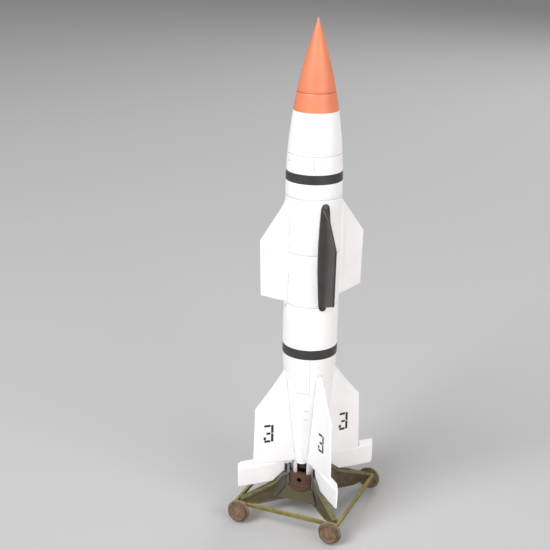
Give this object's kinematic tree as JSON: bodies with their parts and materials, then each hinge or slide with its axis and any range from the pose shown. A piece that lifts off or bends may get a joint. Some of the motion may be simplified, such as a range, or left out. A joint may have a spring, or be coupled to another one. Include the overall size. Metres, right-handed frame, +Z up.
{
  "type": "model rocket on launch trolley",
  "caption": "Static display model of a finned rocket with hinged tail rudders, standing on a square rail trolley with flanged wheels.",
  "frame": {"origin": "on the ground under the rocket's axis, at the middle of the four wheels", "axes": "+Z up along the rocket's axis, X along the direction in which the trolley rolls, Y along the wheel axles; wings, fins and trolley legs stand on the four diagonals"},
  "size_m": [0.0284, 0.031, 0.1165],
  "materials": {
    "white_paint": "satin white paint on styrene",
    "salmon_paint": "satin salmon red paint on styrene",
    "charcoal_paint": "semi-gloss charcoal paint on styrene",
    "olive_paint": "flat dark yellow-olive paint, dry brushed and washed brown",
    "rust_paint": "flat rust brown paint",
    "wheel_paint": "flat pinkish rust brown paint",
    "post_paint": "flat steel grey paint",
    "soot_paint": "flat sooty black paint",
    "pin_steel": "cut steel wire"
  },
  "bodies": {
    "trolley": {"launch_ring": "rust_paint", "hub_base": "olive_paint", "leg_1": "olive_paint", "leg_2": "olive_paint", "leg_3": "olive_paint", "leg_4": "olive_paint", "tie_bar_1": "olive_paint", "tie_bar_2": "olive_paint", "tie_bar_3": "olive_paint", "tie_bar_4": "olive_paint", "guide_post_1": "post_paint", "guide_post_2": "post_paint", "guide_post_3": "post_paint", "guide_post_4": "post_paint", "axle_bracket_1": "olive_paint", "axle_bracket_2": "olive_paint", "axle_bracket_3": "olive_paint", "axle_bracket_4": "olive_paint", "axle_pin_1": "pin_steel", "axle_pin_2": "pin_steel", "axle_pin_3": "pin_steel", "axle_pin_4": "pin_steel"},
    "rocket": {"nose_cone": "salmon_paint", "forward_section": "white_paint", "centre_section": "white_paint", "tail_section": "white_paint", "upper_band": "charcoal_paint", "lower_band": "charcoal_paint", "nozzle": "soot_paint", "wing_1": "charcoal_paint", "wing_2": "white_paint", "wing_3": "white_paint", "wing_4": "white_paint", "fin_1": "white_paint", "fin_2": "white_paint", "fin_3": "white_paint", "fin_4": "white_paint", "tail_fairing_1": "white_paint", "tail_fairing_2": "white_paint", "tail_fairing_3": "white_paint", "tail_fairing_4": "white_paint"},
    "rudder_1": {"rudder_1": "white_paint", "rudder_pin_1": "pin_steel"},
    "wheel_1": {"wheel_1": "wheel_paint"},
    "rudder_2": {"rudder_2": "white_paint", "rudder_pin_2": "pin_steel"},
    "wheel_2": {"wheel_2": "wheel_paint"},
    "rudder_3": {"rudder_3": "white_paint", "rudder_pin_3": "pin_steel"},
    "wheel_3": {"wheel_3": "wheel_paint"},
    "rudder_4": {"rudder_4": "white_paint", "rudder_pin_4": "pin_steel"},
    "wheel_4": {"wheel_4": "wheel_paint"}
  },
  "joints": [
    {"name": "lift_off", "type": "slide", "parent": "trolley", "child": "rocket", "axis": [0, 0, 1], "range_m": [0, 0.03]},
    {"name": "rudder_1_hinge", "type": "hinge", "parent": "rocket", "child": "rudder_1", "pos_m": [0.0046, -0.0046, 0.0129], "axis": [0.7071, -0.7071, 0], "range_deg": [-20, 20]},
    {"name": "rudder_2_hinge", "type": "hinge", "parent": "rocket", "child": "rudder_2", "pos_m": [0.0046, 0.0046, 0.0129], "axis": [0.7071, 0.7071, 0], "range_deg": [-20, 20]},
    {"name": "rudder_3_hinge", "type": "hinge", "parent": "rocket", "child": "rudder_3", "pos_m": [-0.0046, 0.0046, 0.0129], "axis": [-0.7071, 0.7071, 0], "range_deg": [-20, 20]},
    {"name": "rudder_4_hinge", "type": "hinge", "parent": "rocket", "child": "rudder_4", "pos_m": [-0.0046, -0.0046, 0.0129], "axis": [-0.7071, -0.7071, 0], "range_deg": [-20, 20]},
    {"name": "wheel_1_spin", "type": "hinge", "parent": "trolley", "child": "wheel_1", "pos_m": [0.01144, -0.0142, 0.00276], "axis": [0, 1, 0], "continuous": true},
    {"name": "wheel_2_spin", "type": "hinge", "parent": "trolley", "child": "wheel_2", "pos_m": [0.01144, 0.0142, 0.00276], "axis": [0, 1, 0], "continuous": true},
    {"name": "wheel_3_spin", "type": "hinge", "parent": "trolley", "child": "wheel_3", "pos_m": [-0.01144, 0.0142, 0.00276], "axis": [0, 1, 0], "continuous": true},
    {"name": "wheel_4_spin", "type": "hinge", "parent": "trolley", "child": "wheel_4", "pos_m": [-0.01144, -0.0142, 0.00276], "axis": [0, 1, 0], "continuous": true}
  ]
}
